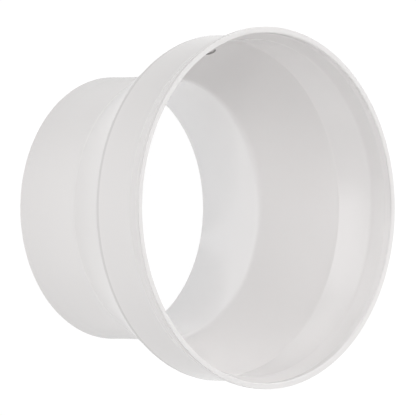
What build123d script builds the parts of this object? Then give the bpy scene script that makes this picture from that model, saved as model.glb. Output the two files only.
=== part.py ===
"""Duct reducer: a moulded fitting that joins a wide round duct to a narrow one.

It stands on its narrow end with the axis on +Z and z = 0 at that end. Sizes are in millimetres, angles in
degrees. The section is one closed profile of radius against height, turned about the axis.
"""

import math
import os

from build123d import *

# Ducts that the fitting joins: the wide one slides into the socket, the narrow one over the spigot
wide_duct_diameter = 160.0
narrow_duct_diameter = 125.0
socket_clearance = 0.2
spigot_clearance = 0.35

# Spigot: a parallel land at the tip, then a slight draft that wedges the duct tight
spigot_length = 36.3
spigot_land = 10.0
spigot_draft = 1.7
bore_draft = 1.7
tip_wall = 1.65

# Cone between the two ends
cone_angle = 28.2
cone_wall = 1.45

# Socket: it stands proud of the cone by a small shoulder
socket_length = 32.5
socket_wall = 1.95
shoulder_step = 0.6

# Flared mouth: it opens outwards and ends in a short thickened band
flare_angle = 26.5
flare_rise = 3.95
mouth_wall = 2.9
outer_band = 2.1
inner_band = 3.7

# Radii of the wall's bends, on the outside of the spigot and the flare and on the inside of the socket's foot
spigot_bend = 9.5
flare_bend = 3.3
socket_foot_bend = 2.5

# Edges that the mould leaves slightly broken
tip_edge = 0.3
shoulder_edge = 0.3
rim_outer_edge = 0.3
rim_inner_edge = 0.65

# Gate mark: a shallow round recess in the cone's inner wall, where the mould was filled
gate_diameter = 5.9
gate_depth = 0.9
gate_below_socket = 11.1
gate_bearing = 176.2
gate_reach = 1.0

# Radii that follow from the ducts and walls
spigot_radius = narrow_duct_diameter / 2 - spigot_clearance
bore_radius = spigot_radius - tip_wall
socket_radius = wide_duct_diameter / 2 + socket_clearance
collar_radius = socket_radius + socket_wall
cone_top_radius = collar_radius - shoulder_step
mouth_radius = collar_radius + flare_rise
mouth_bore_radius = mouth_radius - mouth_wall

# Slopes are radius gained for each millimetre of height
cone_slope = math.tan(math.radians(cone_angle))
flare_slope = math.tan(math.radians(flare_angle))
draft_slope = math.tan(math.radians(spigot_draft))
bore_slope = math.tan(math.radians(bore_draft))

# Heights along the outside
root_radius = spigot_radius + (spigot_length - spigot_land) * draft_slope
shoulder_height = spigot_length + (cone_top_radius - root_radius) / cone_slope
height = shoulder_height + socket_length
flare_top = height - outer_band
flare_foot = flare_top - flare_rise / flare_slope

# Heights along the inside, where the cone's wall keeps its thickness
cone_inner_start = root_radius - cone_wall / math.cos(math.radians(cone_angle))
bore_top = (bore_radius - cone_inner_start + spigot_length * cone_slope) / (cone_slope - bore_slope)
bore_top_radius = bore_radius + bore_top * bore_slope
socket_foot = spigot_length + (socket_radius - cone_inner_start) / cone_slope
inner_flare_top = height - inner_band
inner_flare_foot = inner_flare_top - (mouth_bore_radius - socket_radius) / flare_slope

# Corners of the section as (radius, height), up the outside and down the inside
tip_outer = (spigot_radius, 0)
land_end = (spigot_radius, spigot_land)
spigot_root = (root_radius, spigot_length)
shoulder_inner = (cone_top_radius, shoulder_height)
shoulder_outer = (collar_radius, shoulder_height)
flare_start = (collar_radius, flare_foot)
flare_end = (mouth_radius, flare_top)
rim_outer = (mouth_radius, height)
rim_inner = (mouth_bore_radius, height)
inner_flare_end = (mouth_bore_radius, inner_flare_top)
inner_flare_start = (socket_radius, inner_flare_foot)
socket_stop = (socket_radius, socket_foot)
bore_end = (bore_top_radius, bore_top)
tip_inner = (bore_radius, 0)

section_corners = [
    tip_outer,
    land_end,
    spigot_root,
    shoulder_inner,
    shoulder_outer,
    flare_start,
    flare_end,
    rim_outer,
    rim_inner,
    inner_flare_end,
    inner_flare_start,
    socket_stop,
    bore_end,
    tip_inner,
]

# A bend in the wall has one centre, so its far side is larger by the wall
bends = [
    (spigot_root, spigot_bend),
    (bore_end, spigot_bend + cone_wall),
    (socket_stop, socket_foot_bend),
    (flare_start, flare_bend),
    (inner_flare_start, flare_bend + socket_wall),
]

broken_edges = [
    (tip_outer, tip_edge),
    (tip_inner, tip_edge),
    (shoulder_outer, shoulder_edge),
    (rim_outer, rim_outer_edge),
    (rim_inner, rim_inner_edge),
]

# Gate mark on the cone's inner wall, with its axis square to that wall
gate_height = socket_foot - gate_below_socket
gate_radius = socket_radius - gate_below_socket * cone_slope
gate_turn = math.radians(gate_bearing)
gate_point = (gate_radius * math.cos(gate_turn), gate_radius * math.sin(gate_turn), gate_height)
gate_axis = (math.cos(gate_turn), math.sin(gate_turn), -cone_slope)


with BuildPart() as reducer:
    with BuildSketch(Plane.XZ) as section:
        with BuildLine():
            Polyline(*section_corners, close=True)
        make_face()
        for corner, radius in bends:
            fillet(section.vertices().sort_by_distance(Vector(*corner))[0], radius)
        for corner, width in broken_edges:
            chamfer(section.vertices().sort_by_distance(Vector(*corner))[0], width)
    revolve(axis=Axis.Z)

    with BuildSketch(Plane(origin=gate_point, z_dir=gate_axis).offset(-gate_reach)):
        Circle(gate_diameter / 2)
    extrude(amount=gate_reach + gate_depth, mode=Mode.SUBTRACT)

reducer.part.label = "reducer"

os.makedirs("parts", exist_ok=True)
export_step(reducer.part, "parts/reducer.step")
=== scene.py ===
"""Duct reducer: the moulded wall with its finish, a plain pale studio and the camera.

The part stands on its narrow end with its axis on +Z and z = 0 at that end. Sizes of the part are
in millimetres and become metres where a mesh is made. Places and sizes in the studio are in metres.
"""

import logging
import math
from dataclasses import dataclass
from enum import Enum
from typing import Any, Iterable

import bpy
from mathutils import Matrix, Vector


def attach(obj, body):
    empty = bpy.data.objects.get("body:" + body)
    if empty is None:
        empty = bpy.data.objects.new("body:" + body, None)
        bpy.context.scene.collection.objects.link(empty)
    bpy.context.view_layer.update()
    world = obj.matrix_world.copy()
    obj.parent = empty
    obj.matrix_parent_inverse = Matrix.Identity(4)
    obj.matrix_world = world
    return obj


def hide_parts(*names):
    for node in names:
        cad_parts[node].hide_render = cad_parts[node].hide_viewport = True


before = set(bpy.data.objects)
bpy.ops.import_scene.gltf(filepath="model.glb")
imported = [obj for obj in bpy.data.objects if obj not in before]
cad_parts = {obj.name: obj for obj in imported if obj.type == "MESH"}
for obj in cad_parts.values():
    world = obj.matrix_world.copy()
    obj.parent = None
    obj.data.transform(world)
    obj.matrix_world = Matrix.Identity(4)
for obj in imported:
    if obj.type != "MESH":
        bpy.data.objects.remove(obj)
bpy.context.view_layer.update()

MM = 0.001
PART_MIDDLE = (0.0, 0.0, 0.06)
WHITE = (1.0, 1.0, 1.0, 1.0)
log = logging.getLogger("reducer")

Colour = tuple[float, float, float]
Point = tuple[float, float, float]


class Arc(Enum):
    """Points laid along a rounded corner of the section."""

    EDGE = 6
    BEND = 12


class Sockets(Enum):
    """Kinds of input and output that the node trees have."""

    GEOMETRY = "NodeSocketGeometry"
    WHOLE = "NodeSocketInt"
    NUMBER = "NodeSocketFloat"
    VECTOR = "NodeSocketVector"
    MATERIAL = "NodeSocketMaterial"


class Mix(Enum):
    """What a Mix node mixes, with the places of its two inputs and of its result."""

    FLOAT = (2, 3, 0)
    RGBA = (6, 7, 2)


@dataclass
class TreeMaker:
    """Adds nodes to one node tree, from left to right, and links them.

    Args:
        tree: The node tree that is filled.
        step: Distance between the nodes in the editor.
        made: Nodes added so far.
    """

    tree: bpy.types.NodeTree
    step: float = 190.0
    made: int = 0

    def socket(self, name: str, kind: Sockets, out: bool = False) -> str:
        """Gives a node group one more named input or output.

        Args:
            name: Name that the socket shows.
            kind: What the socket carries.
            out: True for an output.

        Returns:
            The socket's identifier.
        """
        side = "OUTPUT" if out else "INPUT"
        made = self.tree.interface.new_socket(name, in_out=side, socket_type=kind.value)
        return made.identifier

    def add(
        self, kind: str, values: dict[Any, Any] | None = None, **settings: Any
    ) -> bpy.types.Node:
        """Adds a node.

        Args:
            kind: The node's type name.
            values: Input values or output sockets to link, by input name or index.
            **settings: Properties of the node, such as its mode.

        Returns:
            The new node.
        """
        node = self.tree.nodes.new(kind)
        node.location = (self.made * self.step, 0)
        self.made += 1
        for name, setting in settings.items():
            setattr(node, name, setting)
        for key, value in (values or {}).items():
            if isinstance(value, bpy.types.NodeSocket):
                self.tree.links.new(value, node.inputs[key])
            else:
                node.inputs[key].default_value = value
        return node

    def math(
        self, operation: str, first: Any, second: Any = 0.0, third: Any = 0.0
    ) -> bpy.types.NodeSocket:
        """Adds a sum on single numbers.

        Args:
            operation: The Math node's operation.
            first: First number or socket.
            second: Second number or socket.
            third: Third number or socket, for the operations that take one.

        Returns:
            The result's socket.
        """
        values = {0: first, 1: second, 2: third}
        return self.add("ShaderNodeMath", values, operation=operation).outputs[0]

    def length(self, vector: bpy.types.NodeSocket) -> bpy.types.NodeSocket:
        """Adds the length of a vector."""
        return self.add("ShaderNodeVectorMath", {0: vector}, operation="LENGTH").outputs["Value"]

    def mix(
        self, what: Mix, share: Any, first: Any, second: Any, blend: str = "MIX"
    ) -> bpy.types.NodeSocket:
        """Adds a mix of two numbers or two colours.

        Args:
            what: What is mixed.
            share: Share of the second, from 0 to 1.
            first: First value or socket.
            second: Second value or socket.
            blend: How colours are mixed.

        Returns:
            The result's socket.
        """
        low, high, result = what.value
        values = {"Factor": share, low: first, high: second}
        node = self.add("ShaderNodeMix", values, data_type=what.name, blend_type=blend)
        return node.outputs[result]

    def fade(self, value: Any, edge: Any, soft: Any) -> bpy.types.NodeSocket:
        """Adds a smooth step from 0 to 1.

        Args:
            value: Number or socket that is compared.
            edge: Value at which the step is half up.
            soft: Width of the step.

        Returns:
            The step's socket.
        """
        half = self.math("MULTIPLY", soft, 0.5)
        ends = {
            "Value": value,
            "From Min": self.math("SUBTRACT", edge, half),
            "From Max": self.math("ADD", edge, half),
        }
        return self.add("ShaderNodeMapRange", ends, interpolation_type="SMOOTHSTEP").outputs[0]


@dataclass(frozen=True)
class Corner:
    """One corner of the section before it is rounded.

    Args:
        radius: Distance from the axis.
        height: Height above the narrow end.
        bend: Radius of the rounding.
        arc: How finely the rounding is made.
    """

    radius: float
    height: float
    bend: float
    arc: Arc

    @property
    def point(self) -> Vector:
        """Place of the corner in the plane of the section."""
        return Vector((self.radius, self.height))


@dataclass(frozen=True)
class Section:
    """The wall's section as radius against height, with the sizes of the solid.

    Lengths are in millimetres and angles in degrees.
    """

    # Ducts that the fitting joins
    wide_duct_diameter: float = 160.0
    narrow_duct_diameter: float = 125.0
    socket_clearance: float = 0.2
    spigot_clearance: float = 0.35

    # Spigot: a parallel land at the tip, then a slight draft
    spigot_length: float = 36.3
    spigot_land: float = 10.0
    spigot_draft: float = 1.7
    bore_draft: float = 1.7
    tip_wall: float = 1.65

    # Cone, and the socket that stands proud of it by a small shoulder
    cone_angle: float = 28.2
    cone_wall: float = 1.45
    socket_length: float = 32.5
    socket_wall: float = 1.95
    shoulder_step: float = 0.6

    # Flared mouth, which ends in a short thickened band
    flare_angle: float = 26.5
    flare_rise: float = 3.95
    mouth_wall: float = 2.9
    outer_band: float = 2.1
    inner_band: float = 3.7

    # Radii of the wall's bends
    land_bend: float = 60.0
    spigot_bend: float = 9.5
    flare_bend: float = 3.3
    socket_foot_bend: float = 2.5

    # Radii of the edges
    tip_edge: float = 0.1
    shoulder_edge: float = 0.4
    shoulder_root: float = 0.25
    band_edge: float = 0.8
    rim_outer_edge: float = 0.12
    rim_inner_edge: float = 0.75

    # Points on the straight runs: the most between two, and the gap next to a rounding
    row_spacing: float = 2.2
    row_margin: float = 0.25

    @property
    def cone_slope(self) -> float:
        """Radius that the cone gains for each millimetre of height."""
        return math.tan(math.radians(self.cone_angle))

    @property
    def socket_radius(self) -> float:
        """Radius of the socket's inside."""
        return self.wide_duct_diameter / 2 + self.socket_clearance

    @property
    def root_radius(self) -> float:
        """Radius of the spigot's outside where it meets the cone."""
        draft = math.tan(math.radians(self.spigot_draft))
        return self.spigot_radius + (self.spigot_length - self.spigot_land) * draft

    @property
    def spigot_radius(self) -> float:
        """Radius of the spigot's outside at its tip."""
        return self.narrow_duct_diameter / 2 - self.spigot_clearance

    @property
    def cone_inner_start(self) -> float:
        """Radius of the cone's inside at the height of the spigot's root."""
        return self.root_radius - self.cone_wall / math.cos(math.radians(self.cone_angle))

    @property
    def socket_foot(self) -> float:
        """Height where the cone's inside meets the socket."""
        return self.spigot_length + (self.socket_radius - self.cone_inner_start) / self.cone_slope

    @property
    def shoulder_height(self) -> float:
        """Height of the small step under the socket's collar."""
        cone_top_radius = self.socket_radius + self.socket_wall - self.shoulder_step
        return self.spigot_length + (cone_top_radius - self.root_radius) / self.cone_slope

    @property
    def height(self) -> float:
        """Height of the mouth's rim."""
        return self.shoulder_height + self.socket_length

    def corners(self) -> list[Corner]:
        """Lists the section's corners, up the outside and down the inside.

        Returns:
            The corners in order round the closed section.
        """
        flare_slope = math.tan(math.radians(self.flare_angle))
        bore_slope = math.tan(math.radians(self.bore_draft))
        bore_radius = self.spigot_radius - self.tip_wall
        collar_radius = self.socket_radius + self.socket_wall
        mouth_radius = collar_radius + self.flare_rise
        mouth_bore_radius = mouth_radius - self.mouth_wall
        cone_top_radius = collar_radius - self.shoulder_step
        flare_top = self.height - self.outer_band
        flare_foot = flare_top - self.flare_rise / flare_slope
        inner_flare_top = self.height - self.inner_band
        inner_flare_foot = inner_flare_top - (mouth_bore_radius - self.socket_radius) / flare_slope
        rise = bore_radius - self.cone_inner_start + self.spigot_length * self.cone_slope
        bore_top = rise / (self.cone_slope - bore_slope)
        bore_top_radius = bore_radius + bore_top * bore_slope
        inner_spigot_bend = self.spigot_bend + self.cone_wall
        inner_flare_bend = self.flare_bend + self.socket_wall
        return [
            Corner(self.spigot_radius, 0.0, self.tip_edge, Arc.EDGE),
            Corner(self.spigot_radius, self.spigot_land, self.land_bend, Arc.EDGE),
            Corner(self.root_radius, self.spigot_length, self.spigot_bend, Arc.BEND),
            Corner(cone_top_radius, self.shoulder_height, self.shoulder_root, Arc.EDGE),
            Corner(collar_radius, self.shoulder_height, self.shoulder_edge, Arc.EDGE),
            Corner(collar_radius, flare_foot, self.flare_bend, Arc.BEND),
            Corner(mouth_radius, flare_top, self.band_edge, Arc.EDGE),
            Corner(mouth_radius, self.height, self.rim_outer_edge, Arc.EDGE),
            Corner(mouth_bore_radius, self.height, self.rim_inner_edge, Arc.BEND),
            Corner(mouth_bore_radius, inner_flare_top, self.band_edge, Arc.EDGE),
            Corner(self.socket_radius, inner_flare_foot, inner_flare_bend, Arc.BEND),
            Corner(self.socket_radius, self.socket_foot, self.socket_foot_bend, Arc.BEND),
            Corner(bore_top_radius, bore_top, inner_spigot_bend, Arc.BEND),
            Corner(bore_radius, 0.0, self.tip_edge, Arc.EDGE),
        ]

    def rows(
        self, start: Corner, end: Corner, taken_start: float, taken_end: float
    ) -> list[Vector]:
        """Lays even points on the straight run between two roundings.

        Args:
            start: Corner where the run starts.
            end: Corner where the run ends.
            taken_start: Length that the first rounding takes from the run.
            taken_end: Length that the second rounding takes from the run.

        Returns:
            The points between the two roundings, with one close to each.
        """
        run = end.point - start.point
        low = taken_start + self.row_margin
        high = run.length - taken_end - self.row_margin
        if high - low < self.row_margin:
            return []
        count = max(1, math.ceil((high - low) / self.row_spacing))
        along = [low + (high - low) * i / count for i in range(count + 1)]
        return [start.point + run.normalized() * distance for distance in along]

    def outline(self) -> list[tuple[Vector, float, int]]:
        """Lists the section's points for the node tree that rounds and turns it.

        Returns:
            Each point with the radius of its rounding and the points along it. A point on a
            straight run has no rounding and counts as one.
        """
        corners = self.corners()
        taken = []
        befores, afters = corners[-1:] + corners[:-1], corners[1:] + corners[:1]
        for before, corner, after in zip(befores, corners, afters):
            turn = (corner.point - before.point).angle(after.point - corner.point)
            taken.append(corner.bend * math.tan(turn / 2))
        points = []
        for i, corner in enumerate(corners):
            following = (i + 1) % len(corners)
            points.append((corner.point, corner.bend, corner.arc.value))
            rows = self.rows(corner, corners[following], taken[i], taken[following])
            points += [(point, 0.0, 1) for point in rows]
        return points


@dataclass(frozen=True)
class GateMark:
    """The shallow round recess in the cone's inner wall, where the mould was filled.

    Lengths are in millimetres.

    Args:
        diameter: Width of the recess.
        depth: Depth of the recess below the wall.
        below_socket: Height of its middle below the socket's foot.
        bearing: Bearing of its middle about the axis, in degrees from +X.
        reach: Length by which the cutter stands out of the wall.
        side_width: Width of the ring of painted shade on its side.
        side_soft: Width over which that ring fades.
    """

    diameter: float = 5.9
    depth: float = 0.9
    below_socket: float = 11.1
    bearing: float = 176.2
    reach: float = 1.0
    side_width: float = 0.3
    side_soft: float = 0.1

    def axis(self, section: Section) -> Vector:
        """Direction into the wall, square to the cone's inside."""
        turn = math.radians(self.bearing)
        return Vector((math.cos(turn), math.sin(turn), -section.cone_slope)).normalized()

    def centre(self, section: Section) -> Vector:
        """Place of the mark's middle on the cone's inside."""
        turn = math.radians(self.bearing)
        radius = section.socket_radius - self.below_socket * section.cone_slope
        height = section.socket_foot - self.below_socket
        return Vector((radius * math.cos(turn), radius * math.sin(turn), height))

    def side_shade_mask(
        self, maker: TreeMaker, section: Section, place: bpy.types.NodeSocket
    ) -> bpy.types.NodeSocket:
        """Marks the recess's side, where the finish paints shade.

        Args:
            maker: Tree of the finish.
            section: Section whose cone the recess lies in.
            place: Point on the part, in metres.

        Returns:
            The mask, 1 on the recess's side and 0 off it.
        """

        def vector(operation: str, first: Any, second: Any) -> bpy.types.Node:
            """Adds a sum on vectors."""
            return maker.add("ShaderNodeVectorMath", {0: first, 1: second}, operation=operation)

        axis = self.axis(section)
        apart = vector("SUBTRACT", place, self.centre(section) * MM).outputs[0]
        sunk = vector("DOT_PRODUCT", apart, axis).outputs["Value"]
        across = vector("CROSS_PRODUCT", apart, axis).outputs[0]
        radius = maker.length(across)
        soft = self.side_soft * MM
        inner = maker.fade(radius, (self.diameter - self.side_width) / 2 * MM, soft)
        outer = maker.fade(radius, (self.diameter + self.side_width) / 2 * MM, soft)
        ring = maker.math("SUBTRACT", inner, outer)
        below = maker.fade(sunk, (self.depth + self.side_soft) * MM, soft)
        between = maker.math("SUBTRACT", maker.fade(sunk, soft, soft), below)
        return maker.math("MULTIPLY", ring, between)


@dataclass(frozen=True)
class RingBand:
    """A band round the axis on the part's outside, as a mask for a finish.

    Args:
        low: Height where the band starts, in millimetres.
        high: Height where the band ends.
        least_radius: Distance from the axis beyond which the band lies.
        soft: Width over which its edges fade.
    """

    low: float
    high: float
    least_radius: float
    soft: float

    @staticmethod
    def tree() -> bpy.types.NodeTree:
        """Builds the shader group that masks a band.

        Returns:
            The group, with the band's heights, radius and softness as inputs and its mask as
            output.
        """
        tree = bpy.data.node_groups.new("ring_band", "ShaderNodeTree")
        maker = TreeMaker(tree)
        maker.socket("Place", Sockets.VECTOR)
        for name in ("Low", "High", "Least radius", "Soft"):
            maker.socket(name, Sockets.NUMBER)
        maker.socket("Mask", Sockets.NUMBER, out=True)
        given = maker.add("NodeGroupInput").outputs
        parts = maker.add("ShaderNodeSeparateXYZ", {0: given["Place"]}).outputs
        flat = maker.add("ShaderNodeCombineXYZ", {"X": parts["X"], "Y": parts["Y"]}).outputs[0]
        radius = maker.length(flat)
        above = maker.fade(parts["Z"], given["Low"], given["Soft"])
        below = maker.fade(parts["Z"], given["High"], given["Soft"])
        outside = maker.fade(radius, given["Least radius"], given["Soft"])
        height = maker.math("SUBTRACT", above, below)
        maker.add("NodeGroupOutput", {"Mask": maker.math("MULTIPLY", height, outside)})
        return tree

    def mask(
        self, maker: TreeMaker, tree: bpy.types.NodeTree, place: bpy.types.NodeSocket
    ) -> bpy.types.NodeSocket:
        """Places the group in a finish with this band's values.

        Args:
            maker: Tree of the finish.
            tree: The group.
            place: Point on the part, in metres.

        Returns:
            The mask, 1 on the band and 0 off it.
        """
        values = {
            "Place": place,
            "Low": self.low * MM,
            "High": self.high * MM,
            "Least radius": self.least_radius * MM,
            "Soft": self.soft * MM,
        }
        return maker.add("ShaderNodeGroup", values, node_tree=tree).outputs["Mask"]


@dataclass(frozen=True)
class MouldGrain:
    """The texture that a mould leaves on plastic: fine grain, a soft ripple and cloudy gloss.

    Args:
        grain_size: Width of the grain, in millimetres.
        grain_height: Height of the grain.
        ripple_size: Width of the ripple.
        ripple_height: Height of the ripple.
        cloud_size: Width of the clouds in colour and gloss.
    """

    grain_size: float = 0.7
    grain_height: float = 0.0016
    ripple_size: float = 16.0
    ripple_height: float = 0.012
    cloud_size: float = 24.0

    @staticmethod
    def tree() -> bpy.types.NodeTree:
        """Builds the shader group of the texture.

        Returns:
            The group, with sizes as inputs, and the surface's height and the clouds as outputs.
        """
        tree = bpy.data.node_groups.new("mould_grain", "ShaderNodeTree")
        maker = TreeMaker(tree)
        maker.socket("Place", Sockets.VECTOR)
        for name in ("Grain size", "Grain height", "Ripple size", "Ripple height", "Cloud size"):
            maker.socket(name, Sockets.NUMBER)
        maker.socket("Height", Sockets.NUMBER, out=True)
        maker.socket("Clouds", Sockets.NUMBER, out=True)
        given = maker.add("NodeGroupInput").outputs

        def noise(size: str, detail: float) -> bpy.types.NodeSocket:
            """Adds a noise as wide as the named input."""
            scale = maker.math("DIVIDE", 1.0, given[size])
            values = {"Vector": given["Place"], "Scale": scale, "Detail": detail}
            return maker.add("ShaderNodeTexNoise", values).outputs[0]

        ripple = maker.math("MULTIPLY", noise("Ripple size", detail=1.0), given["Ripple height"])
        grain = noise("Grain size", detail=2.0)
        height = maker.math("MULTIPLY_ADD", grain, given["Grain height"], ripple)
        clouds = noise("Cloud size", detail=3.0)
        maker.add("NodeGroupOutput", {"Height": height, "Clouds": clouds})
        return tree

    def place(
        self, maker: TreeMaker, tree: bpy.types.NodeTree, place: bpy.types.NodeSocket
    ) -> bpy.types.bpy_prop_collection:
        """Places the group in a finish with this texture's sizes.

        Args:
            maker: Tree of the finish.
            tree: The group.
            place: Point on the part, in metres.

        Returns:
            The group's outputs.
        """
        values = {
            "Place": place,
            "Grain size": self.grain_size * MM,
            "Grain height": self.grain_height * MM,
            "Ripple size": self.ripple_size * MM,
            "Ripple height": self.ripple_height * MM,
            "Cloud size": self.cloud_size * MM,
        }
        return maker.add("ShaderNodeGroup", values, node_tree=tree).outputs


@dataclass(frozen=True)
class MouldedPlastic:
    """Satin white moulded plastic.

    Args:
        colour: Colour of the plastic.
        roughness: Mean roughness of the surface.
        roughness_spread: Change in roughness from the clearest to the dullest cloud.
        cloud_depth: Share of the colour that the clouds take away.
        grain: Texture of the mould.
        shoulder_shade_band: Band at the socket's foot with painted shade, which stands in for the
            doubled wall letting less light through.
        shoulder_shade_depth: Share of the colour that this painted shade takes away.
        gate_shade_depth: Share of the colour that the painted shade on the gate mark's side takes
            away.
    """

    colour: Colour = (0.831, 0.8125, 0.8065)
    roughness: float = 0.19
    roughness_spread: float = 0.05
    cloud_depth: float = 0.012
    grain: MouldGrain = MouldGrain()
    # Painted shade: a darker band at the socket's foot, in place of less light coming through the
    # doubled wall.
    shoulder_shade_band: RingBand = RingBand(low=70.9, high=72.75, least_radius=81.7, soft=0.2)
    shoulder_shade_depth: float = 0.13
    # Painted shade on the gate mark's side, deepening the shade inside the recess.
    gate_shade_depth: float = 0.44

    def material(self, gate: GateMark, section: Section) -> bpy.types.Material:
        """Builds the finish.

        Args:
            gate: The gate mark.
            section: The wall's section.

        Returns:
            The material.
        """
        material = bpy.data.materials.new("satin_white_plastic")
        material.use_nodes = True
        maker = TreeMaker(material.node_tree)
        shader = material.node_tree.nodes["Principled BSDF"]
        place = maker.add("ShaderNodeTexCoord").outputs["Object"]
        texture = self.grain.place(maker, MouldGrain.tree(), place)
        shade = maker.math("MULTIPLY_ADD", texture["Clouds"], -self.cloud_depth, 1.0)
        # Painted shade: the shoulder band and the gate mark's side darken the colour here.
        for mask, depth in (
            (self.shoulder_shade_band.mask(maker, RingBand.tree(), place), self.shoulder_shade_depth),
            (gate.side_shade_mask(maker, section, place), self.gate_shade_depth),
        ):
            shade = maker.math("MULTIPLY", shade, maker.math("MULTIPLY_ADD", mask, -depth, 1.0))
        tint = maker.mix(Mix.RGBA, 1.0, (*self.colour, 1.0), shade, blend="MULTIPLY")
        least = self.roughness - self.roughness_spread / 2
        dull = maker.math("MULTIPLY_ADD", texture["Clouds"], self.roughness_spread, least)
        bump = maker.add("ShaderNodeBump", {"Height": texture["Height"], "Distance": 1.0})
        maker.tree.links.new(tint, shader.inputs["Base Color"])
        maker.tree.links.new(dull, shader.inputs["Roughness"])
        maker.tree.links.new(bump.outputs[0], shader.inputs["Normal"])
        return material


@dataclass
class Wall:
    """The reducer itself: one moulded wall, turned from its section, with the gate mark cut in.

    Args:
        section: Section of the wall.
        gate: The gate mark.
        finish: Finish of the plastic.
        turn_points: Points round the axis.
        gate_points: Points round the gate mark.
        sharp_angle: Angle between faces above which an edge stays sharp, in degrees.
    """

    section: Section = Section()
    gate: GateMark = GateMark()
    finish: MouldedPlastic = MouldedPlastic()
    turn_points: int = 240
    gate_points: int = 48
    sharp_angle: float = 35.0

    def section_mesh(self) -> bpy.types.Mesh:
        """Makes the section as a closed line in the plane of X and Z.

        Returns:
            A mesh of edges with the rounding of each point as attributes.
        """
        outline = self.section.outline()
        points = [(point.x * MM, 0.0, point.y * MM) for point, _, _ in outline]
        edges = [(i, (i + 1) % len(points)) for i in range(len(points))]
        mesh = bpy.data.meshes.new("section")
        mesh.from_pydata(points, edges, [])
        bends = mesh.attributes.new("bend", "FLOAT", "POINT")
        bends.data.foreach_set("value", [bend * MM for _, bend, _ in outline])
        arcs = mesh.attributes.new("arc_points", "INT", "POINT")
        arcs.data.foreach_set("value", [count for _, _, count in outline])
        return mesh

    def turning_tree(self) -> tuple[bpy.types.NodeTree, dict[str, str]]:
        """Builds the node tree that rounds the section, turns it and cuts the gate mark.

        Returns:
            The tree, and the identifier of each input by its name.
        """
        tree = bpy.data.node_groups.new("turned_wall", "GeometryNodeTree")
        maker = TreeMaker(tree)
        inputs = {
            name: maker.socket(name, kind)
            for name, kind in (
                ("Section", Sockets.GEOMETRY),
                ("Axis radius", Sockets.NUMBER),
                ("Turn points", Sockets.WHOLE),
                ("Gate points", Sockets.WHOLE),
                ("Gate radius", Sockets.NUMBER),
                ("Gate length", Sockets.NUMBER),
                ("Gate place", Sockets.VECTOR),
                ("Gate axis", Sockets.VECTOR),
                ("Sharp angle", Sockets.NUMBER),
                ("Finish", Sockets.MATERIAL),
            )
        }
        maker.socket("Wall", Sockets.GEOMETRY, out=True)
        given = maker.add("NodeGroupInput").outputs

        back = maker.math("MULTIPLY", given["Axis radius"], -1.0)
        shift = maker.add("ShaderNodeCombineXYZ", {"X": back}).outputs[0]
        quarter_turn = (math.pi / 2, 0.0, 0.0)
        laid = maker.add(
            "GeometryNodeTransform",
            {"Geometry": given["Section"], "Translation": shift, "Rotation": quarter_turn},
        )
        line = maker.add("GeometryNodeMeshToCurve", {"Mesh": laid.outputs[0]})
        bend = maker.add("GeometryNodeInputNamedAttribute", {"Name": "bend"}, data_type="FLOAT")
        arc = maker.add("GeometryNodeInputNamedAttribute", {"Name": "arc_points"}, data_type="INT")
        rounded = maker.add(
            "GeometryNodeFilletCurve",
            {"Curve": line.outputs[0], "Radius": bend.outputs[0], "Count": arc.outputs[0]},
            mode="POLY",
        )
        path = maker.add(
            "GeometryNodeCurvePrimitiveCircle",
            {"Resolution": given["Turn points"], "Radius": given["Axis radius"]},
        )
        turned = maker.add(
            "GeometryNodeCurveToMesh",
            {"Curve": path.outputs[0], "Profile Curve": rounded.outputs[0]},
        )
        facing = maker.add(
            "FunctionNodeAlignRotationToVector", {"Vector": given["Gate axis"]}, axis="Z"
        )
        cutter = maker.add(
            "GeometryNodeMeshCylinder",
            {
                "Vertices": given["Gate points"],
                "Radius": given["Gate radius"],
                "Depth": given["Gate length"],
            },
        )
        seated = maker.add(
            "GeometryNodeTransform",
            {
                "Geometry": cutter.outputs[0],
                "Translation": given["Gate place"],
                "Rotation": facing.outputs[0],
            },
        )
        cut = maker.add(
            "GeometryNodeMeshBoolean",
            {"Mesh 1": turned.outputs[0], "Mesh 2": seated.outputs[0]},
            operation="DIFFERENCE",
            solver="EXACT",
        )
        smooth = maker.add(
            "GeometryNodeSetShadeSmooth", {"Geometry": cut.outputs[0]}, domain="FACE"
        )
        angle = maker.add("GeometryNodeInputMeshEdgeAngle").outputs["Unsigned Angle"]
        sharp = maker.math("GREATER_THAN", angle, given["Sharp angle"])
        creased = maker.add(
            "GeometryNodeSetShadeSmooth",
            {"Geometry": smooth.outputs[0], "Selection": sharp, "Shade Smooth": False},
            domain="EDGE",
        )
        real = maker.add("GeometryNodeRealizeInstances", {"Geometry": creased.outputs[0]})
        dressed = maker.add(
            "GeometryNodeSetMaterial", {"Geometry": real.outputs[0], "Material": given["Finish"]}
        )
        maker.add("NodeGroupOutput", {"Wall": dressed.outputs[0]})
        return tree, inputs

    def build(self) -> bpy.types.Object:
        """Makes the wall as a plain mesh, dresses it and puts it in the solid's place.

        Returns:
            The finished piece.
        """
        tree, inputs = self.turning_tree()
        section = bpy.data.objects.new("section", self.section_mesh())
        bpy.context.scene.collection.objects.link(section)
        modifier = section.modifiers.new("turning", "NODES")
        modifier.node_group = tree
        length = (self.gate.reach + self.gate.depth) * MM
        axis = self.gate.axis(self.section)
        middle = self.gate.centre(self.section) * MM + axis * (self.gate.depth * MM - length / 2)
        for name, value in {
            "Axis radius": self.section.socket_radius * MM,
            "Turn points": self.turn_points,
            "Gate points": self.gate_points,
            "Gate radius": self.gate.diameter / 2 * MM,
            "Gate length": length,
            "Gate place": middle,
            "Gate axis": axis,
            "Sharp angle": math.radians(self.sharp_angle),
            "Finish": self.finish.material(self.gate, self.section),
        }.items():
            modifier[inputs[name]] = value
        evaluated = section.evaluated_get(bpy.context.evaluated_depsgraph_get())
        mesh = bpy.data.meshes.new_from_object(evaluated)
        mesh.name = "reducer_wall"
        section.modifiers.remove(modifier)
        bpy.data.objects.remove(section)
        wall = bpy.data.objects.new("reducer_wall", mesh)
        bpy.context.scene.collection.objects.link(wall)
        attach(wall, "root")
        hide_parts("reducer")
        return wall


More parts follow.
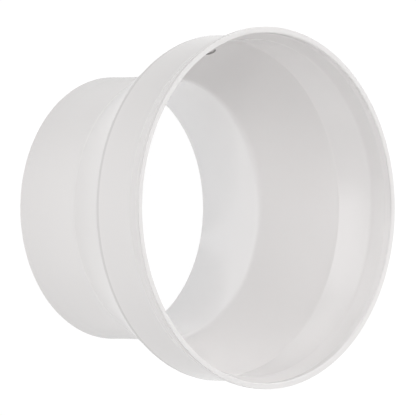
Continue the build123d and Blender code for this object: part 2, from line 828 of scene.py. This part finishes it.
@dataclass(frozen=True)
class SoftLamp:
    """One large soft light that faces the part.

    Args:
        name: Name of the lamp.
        azimuth: Bearing of the lamp, in degrees from -Y towards +X.
        elevation: Height of the lamp above the horizon, in degrees.
        distance: Distance from the point that it faces.
        size: Side of the square light.
        power: Power in watts.
    """

    name: str
    azimuth: float
    elevation: float
    distance: float
    size: float
    power: float

    @property
    def target(self) -> Vector:
        """Point that the lamp faces."""
        return Vector(PART_MIDDLE)

    def light(self) -> bpy.types.Light:
        """Makes the light itself."""
        light = bpy.data.lights.new(self.name, "AREA")
        light.size = self.size
        light.energy = self.power
        return light

    def build(self) -> bpy.types.Object:
        """Makes the lamp.

        Returns:
            The lamp's object.
        """
        turn, lift = math.radians(self.azimuth), math.radians(self.elevation)
        flat = Vector((math.sin(turn), -math.cos(turn), 0.0)) * math.cos(lift)
        away = flat + Vector((0.0, 0.0, math.sin(lift)))
        lamp = bpy.data.objects.new(self.name, self.light())
        lamp.location = self.target + away * self.distance
        lamp.rotation_euler = away.to_track_quat("Z", "Y").to_euler()
        bpy.context.scene.collection.objects.link(lamp)
        return lamp


@dataclass(frozen=True)
class BeamLamp(SoftLamp):
    """A small masked lamp whose soft-edged beam falls through the mouth on one place.

    Its size is the radius of its bulb.

    Args:
        place: Point that the beam falls on.
        spread: Angle of the beam across its width, in degrees.
        flatness: Height of the beam as a share of its width.
    """

    place: Point
    spread: float
    flatness: float

    @property
    def target(self) -> Vector:
        """Point that the lamp faces."""
        return Vector(self.place)

    def light(self) -> bpy.types.Light:
        """Makes the light itself, with a beam that fades from its middle to its edge."""
        light = bpy.data.lights.new(self.name, "SPOT")
        light.shadow_soft_size = self.size
        light.spot_size = math.radians(self.spread)
        light.spot_blend = 1.0
        light.energy = self.power
        return light

    def build(self) -> bpy.types.Object:
        """Makes the lamp and flattens its beam."""
        lamp = super().build()
        lamp.scale.y = self.flatness
        return lamp


@dataclass(frozen=True)
class LightPatch:
    """Lamp light that falls on the floor through the part's mouth, or a shaded place beside it.

    Args:
        place: Middle of the patch on the floor.
        size: Half its length and half its width.
        turn: Angle between its length and +X, in degrees.
        light: Level that it adds to the floor's look, or takes away below nought.
        soft: Width of its soft edge, as a share of its size.
    """

    place: tuple[float, float]
    size: tuple[float, float]
    turn: float
    light: float
    soft: float = 0.6

    def level(self, maker: TreeMaker, place: bpy.types.NodeSocket) -> bpy.types.NodeSocket:
        """Adds the patch's level, which fades out round its edge.

        Args:
            maker: Tree that gets the nodes.
            place: Point on the floor.

        Returns:
            The level's socket.
        """
        values = {
            "Vector": place,
            "Location": (*self.place, 0.0),
            "Rotation": (0.0, 0.0, math.radians(self.turn)),
            "Scale": (*self.size, 1.0),
        }
        patch = maker.add("ShaderNodeMapping", values, vector_type="TEXTURE").outputs[0]
        away = maker.length(patch)
        return maker.math("MULTIPLY_ADD", maker.fade(away, 1.0, self.soft), -self.light, self.light)


@dataclass(frozen=True)
class PaleFloor:
    """Floor that lights the part like a light table and is white where it is seen.

    Args:
        colour: Colour of the floor where the lamps light it.
        light: Distances from the axis, and the level of light that the floor gives back there. It
            is even in the bore, dimmed by the part's own shadow next to it, and fades out far away.
        bore_tint: Tint of that light in the bore, which is slightly cool.
        shade: Share of the floor's look that shows the part's shadow.
        white: Level of the rest of its look.
        shadow_start: Distance from the axis where the part's shadow starts in reflections.
        shadow_middle: Middle of that shadow, which falls away from the front lamps.
        shadow_reach: Distance from its middle where it ends.
        shadow_fade: Width over which it ends.
        shadow_depth: Share of the floor's look that it takes away.
        patches: Lamp light and shade on the floor inside the bore, in reflections.
    """

    colour: Colour = (0.9, 0.9, 0.9)
    light: tuple[tuple[float, float], ...] = (
        (0.06, 0.94),
        (0.062, 0.83),
        (0.11, 0.84),
        (0.15, 1.04),
        (0.19, 1.34),
        (0.23, 1.34),
        (0.29, 0.80),
        (0.35, 0.48),
        (0.5, 0.32),
        (0.8, 0.10),
    )
    bore_tint: Colour = (0.965, 1.0, 1.02)
    shade: float = 0.08
    white: float = 1.05
    shadow_start: float = 0.0615
    shadow_middle: Point = (0.0, 0.05, 0.0)
    shadow_reach: float = 0.095
    shadow_fade: float = 0.03
    shadow_depth: float = 0.3
    patches: tuple[LightPatch, ...] = (
        LightPatch(place=(-0.015, 0.010), size=(0.030, 0.015), turn=142.0, light=1.9),
        LightPatch(place=(0.024, 0.012), size=(0.022, 0.013), turn=61.0, light=-0.6),
        LightPatch(place=(0.006, 0.043), size=(0.020, 0.004), turn=60.0, light=0.9),
    )

    @property
    def peak(self) -> float:
        """Highest level of the light that the floor gives back."""
        return max(level for _, level in self.light)

    def given(self, maker: TreeMaker, place: bpy.types.NodeSocket) -> bpy.types.NodeSocket:
        """Adds the light that the floor gives back, by distance from the axis.

        Args:
            maker: Tree that gets the nodes.
            place: Point on the floor.

        Returns:
            The light's colour, as a share of its peak.
        """
        node = maker.add("ShaderNodeValToRGB", {0: maker.length(place)})
        stops = node.color_ramp.elements
        stops[0].position, stops[1].position = self.light[0][0], self.light[-1][0]
        for distance, _ in self.light[1:-1]:
            stops.new(distance)
        for stop, (_, level) in zip(stops, self.light):
            share = level / self.peak
            stop.color = (share, share, share, 1.0)
        bore = self.light[0][1] / self.peak
        stops[0].color = (*(bore * tint for tint in self.bore_tint), 1.0)
        return node.outputs[0]

    def look(self, maker: TreeMaker, place: bpy.types.NodeSocket) -> bpy.types.NodeSocket:
        """Adds the white that the floor shows, with the shadow and patches that reflections show.

        Args:
            maker: Tree that gets the nodes.
            place: Point on the floor.

        Returns:
            The level's socket.
        """
        shiny = maker.add("ShaderNodeLightPath").outputs["Is Glossy Ray"]
        under = maker.math("GREATER_THAN", maker.length(place), self.shadow_start)
        ends = {0: place, 1: self.shadow_middle}
        apart = maker.add("ShaderNodeVectorMath", ends, operation="DISTANCE").outputs["Value"]
        beyond = maker.fade(apart, self.shadow_reach, self.shadow_fade)
        shaded = maker.math("SUBTRACT", under, maker.math("MULTIPLY", under, beyond))
        shadow = maker.math("MULTIPLY", shiny, shaded)
        look = maker.math("MULTIPLY_ADD", shadow, -self.white * self.shadow_depth, self.white)
        for patch in self.patches:
            look = maker.math("MULTIPLY_ADD", shiny, patch.level(maker, place), look)
        return look

    def material(self) -> bpy.types.Material:
        """Builds the finish, with the part's faint shadow.

        Returns:
            The material.
        """
        material = bpy.data.materials.new("pale_floor")
        material.use_nodes = True
        material.node_tree.nodes.clear()
        maker = TreeMaker(material.node_tree)
        path = maker.add("ShaderNodeLightPath").outputs
        shiny = maker.math("MAXIMUM", path["Is Glossy Ray"], path["Is Transmission Ray"])
        seen = maker.math("MAXIMUM", path["Is Camera Ray"], shiny)
        plain = maker.add("ShaderNodeBsdfDiffuse", {"Color": (*self.colour, 1.0)})
        place = maker.add("ShaderNodeTexCoord").outputs["Object"]
        colour = maker.mix(Mix.RGBA, seen, self.given(maker, place), WHITE)
        level = maker.mix(Mix.FLOAT, seen, self.peak, self.look(maker, place))
        white = maker.add("ShaderNodeEmission", {"Color": colour, "Strength": level})
        share = maker.math("MULTIPLY_ADD", seen, -self.shade, 1.0)
        both = {0: share, 1: plain.outputs[0], 2: white.outputs[0]}
        mixed = maker.add("ShaderNodeMixShader", both)
        maker.add("ShaderNodeOutputMaterial", {"Surface": mixed.outputs[0]})
        return material


@dataclass
class Studio:
    """Pale floor, plain far side and lamps.

    Args:
        floor: Finish of the floor.
        floor_side: Side of the square floor.
        far_level: Level that the studio's far side shows in reflections.
        lens_side: Direction from the part to the camera, where the far side is dark.
        lens_spread: Half angle of that dark side, in degrees.
        lens_depth: Share of the far side's level that it lacks.
        lamps: The lamps.
    """

    floor: PaleFloor = PaleFloor()
    floor_side: float = 8.0
    far_level: float = 0.8
    lens_side: Point = (0.0, -0.7065, 0.7077)
    lens_spread: float = 22.0
    lens_depth: float = 0.9
    lamps: tuple[SoftLamp, ...] = (
        SoftLamp("back", azimuth=180.0, elevation=34.0, distance=1.2, size=0.9, power=4.3),
        SoftLamp("back_left", azimuth=-135.0, elevation=45.0, distance=2.4, size=1.4, power=24.0),
        SoftLamp(
            "back_left_low", azimuth=-135.0, elevation=20.0, distance=1.2, size=0.6, power=1.2
        ),
        SoftLamp("back_right", azimuth=135.0, elevation=24.0, distance=0.8, size=0.33, power=0.9),
        SoftLamp("front", azimuth=-14.0, elevation=33.0, distance=1.2, size=0.2, power=1.5),
        SoftLamp("front_high", azimuth=0.0, elevation=45.0, distance=1.2, size=0.6, power=1.75),
        SoftLamp("front_low", azimuth=0.0, elevation=14.0, distance=1.2, size=0.65, power=1.6),
        SoftLamp("front_left", azimuth=-45.0, elevation=30.0, distance=1.2, size=0.6, power=2.6),
        SoftLamp("front_right", azimuth=45.0, elevation=40.0, distance=1.2, size=0.6, power=2.65),
        SoftLamp("left", azimuth=-90.0, elevation=35.0, distance=2.4, size=1.2, power=2.2),
        SoftLamp("right", azimuth=90.0, elevation=10.0, distance=0.8, size=0.33, power=0.75),
        BeamLamp(
            "socket_beam",
            azimuth=-50.0,
            elevation=30.0,
            distance=0.8,
            size=0.005,
            power=2.9,
            place=(0.0614, 0.0516, 0.0830),
            spread=4.4,
            flatness=0.48,
        ),
        BeamLamp(
            "lip_beam",
            azimuth=-22.0,
            elevation=30.0,
            distance=0.8,
            size=0.005,
            power=2.1,
            place=(0.0307, 0.0760, 0.0985),
            spread=5.2,
            flatness=0.32,
        ),
        BeamLamp(
            "band_beam",
            azimuth=-47.0,
            elevation=12.0,
            distance=0.8,
            size=0.002,
            power=2.8,
            place=(0.0608, 0.0567, 0.1020),
            spread=4.6,
            flatness=0.07,
        ),
    )

    def build_floor(self) -> bpy.types.Object:
        """Makes the floor that the part stands on.

        Returns:
            The floor's object.
        """
        half = self.floor_side / 2
        mesh = bpy.data.meshes.new("floor")
        corners = [(-half, -half, 0.0), (half, -half, 0.0), (half, half, 0.0), (-half, half, 0.0)]
        mesh.from_pydata(corners, [], [(0, 1, 2, 3)])
        mesh.materials.append(self.floor.material())
        floor = bpy.data.objects.new("floor", mesh)
        bpy.context.scene.collection.objects.link(floor)
        return floor

    def build_far_side(self) -> bpy.types.World:
        """Makes the studio's far side, which is plain white in the picture and lights nothing.

        Returns:
            The world.
        """
        world = bpy.data.worlds.new("studio")
        world.use_nodes = True
        world.node_tree.nodes.clear()
        maker = TreeMaker(world.node_tree)
        place = maker.add("ShaderNodeTexCoord").outputs["Generated"]
        ends = {0: place, 1: self.lens_side}
        facing = maker.add("ShaderNodeVectorMath", ends, operation="DOT_PRODUCT").outputs["Value"]
        edge = math.cos(math.radians(self.lens_spread))
        lens = maker.fade(facing, edge, 1.0 - edge)
        shown = maker.math("MULTIPLY_ADD", lens, -self.far_level * self.lens_depth, self.far_level)
        path = maker.add("ShaderNodeLightPath").outputs
        shiny = maker.math("MAXIMUM", path["Is Glossy Ray"], path["Is Transmission Ray"])
        level = maker.math("MULTIPLY_ADD", shiny, shown, path["Is Camera Ray"])
        light = maker.add("ShaderNodeBackground", {"Color": WHITE, "Strength": level})
        maker.add("ShaderNodeOutputWorld", {"Surface": light.outputs[0]})
        bpy.context.scene.world = world
        return world

    def build(self) -> list[bpy.types.ID]:
        """Makes the floor, the far side and the lamps.

        Returns:
            All that was made.
        """
        return [self.build_floor(), self.build_far_side(), *(lamp.build() for lamp in self.lamps)]


@dataclass
class ProductCamera:
    """Flat view along a slope, turned so that the part's axis lies across the picture.

    Args:
        tilt: Angle between the part's axis and the line of sight, in degrees.
        width: Width of the picture.
        aim: Point in the picture's middle.
        distance: Distance of the camera from that point.
    """

    tilt: float = 44.95
    width: float = 0.19768
    aim: Point = (0.0, 0.0, 0.06405)
    distance: float = 1.5

    def build(self) -> bpy.types.Object:
        """Makes the camera and gives it to the scene.

        Returns:
            The camera's object.
        """
        lean = math.radians(self.tilt)
        across = Vector((0.0, math.cos(lean), math.sin(lean)))
        up = Vector((-1.0, 0.0, 0.0))
        back = across.cross(up)
        data = bpy.data.cameras.new("camera")
        data.type = "ORTHO"
        data.ortho_scale = self.width
        camera = bpy.data.objects.new("camera", data)
        turn = Matrix((across, up, back)).transposed().to_4x4()
        camera.matrix_world = Matrix.Translation(Vector(self.aim) + back * self.distance) @ turn
        bpy.context.scene.collection.objects.link(camera)
        bpy.context.scene.camera = camera
        return camera


def report(made: Iterable[bpy.types.ID]) -> None:
    """Names each finished piece in the log.

    Args:
        made: The pieces.
    """
    for piece in made:
        data = getattr(piece, "data", None)
        size = f"{len(data.polygons)} faces" if isinstance(data, bpy.types.Mesh) else "made"
        log.info("%s: %s", piece.name, size)


def main() -> None:
    """Builds the camera, the part and the studio in order."""
    logging.basicConfig(level=logging.INFO, format="%(name)s: %(message)s")
    bpy.context.scene.view_settings.view_transform = "Standard"
    report([ProductCamera().build()])
    report([Wall().build()])
    report(Studio().build())


if __name__ == "__main__":
    main()
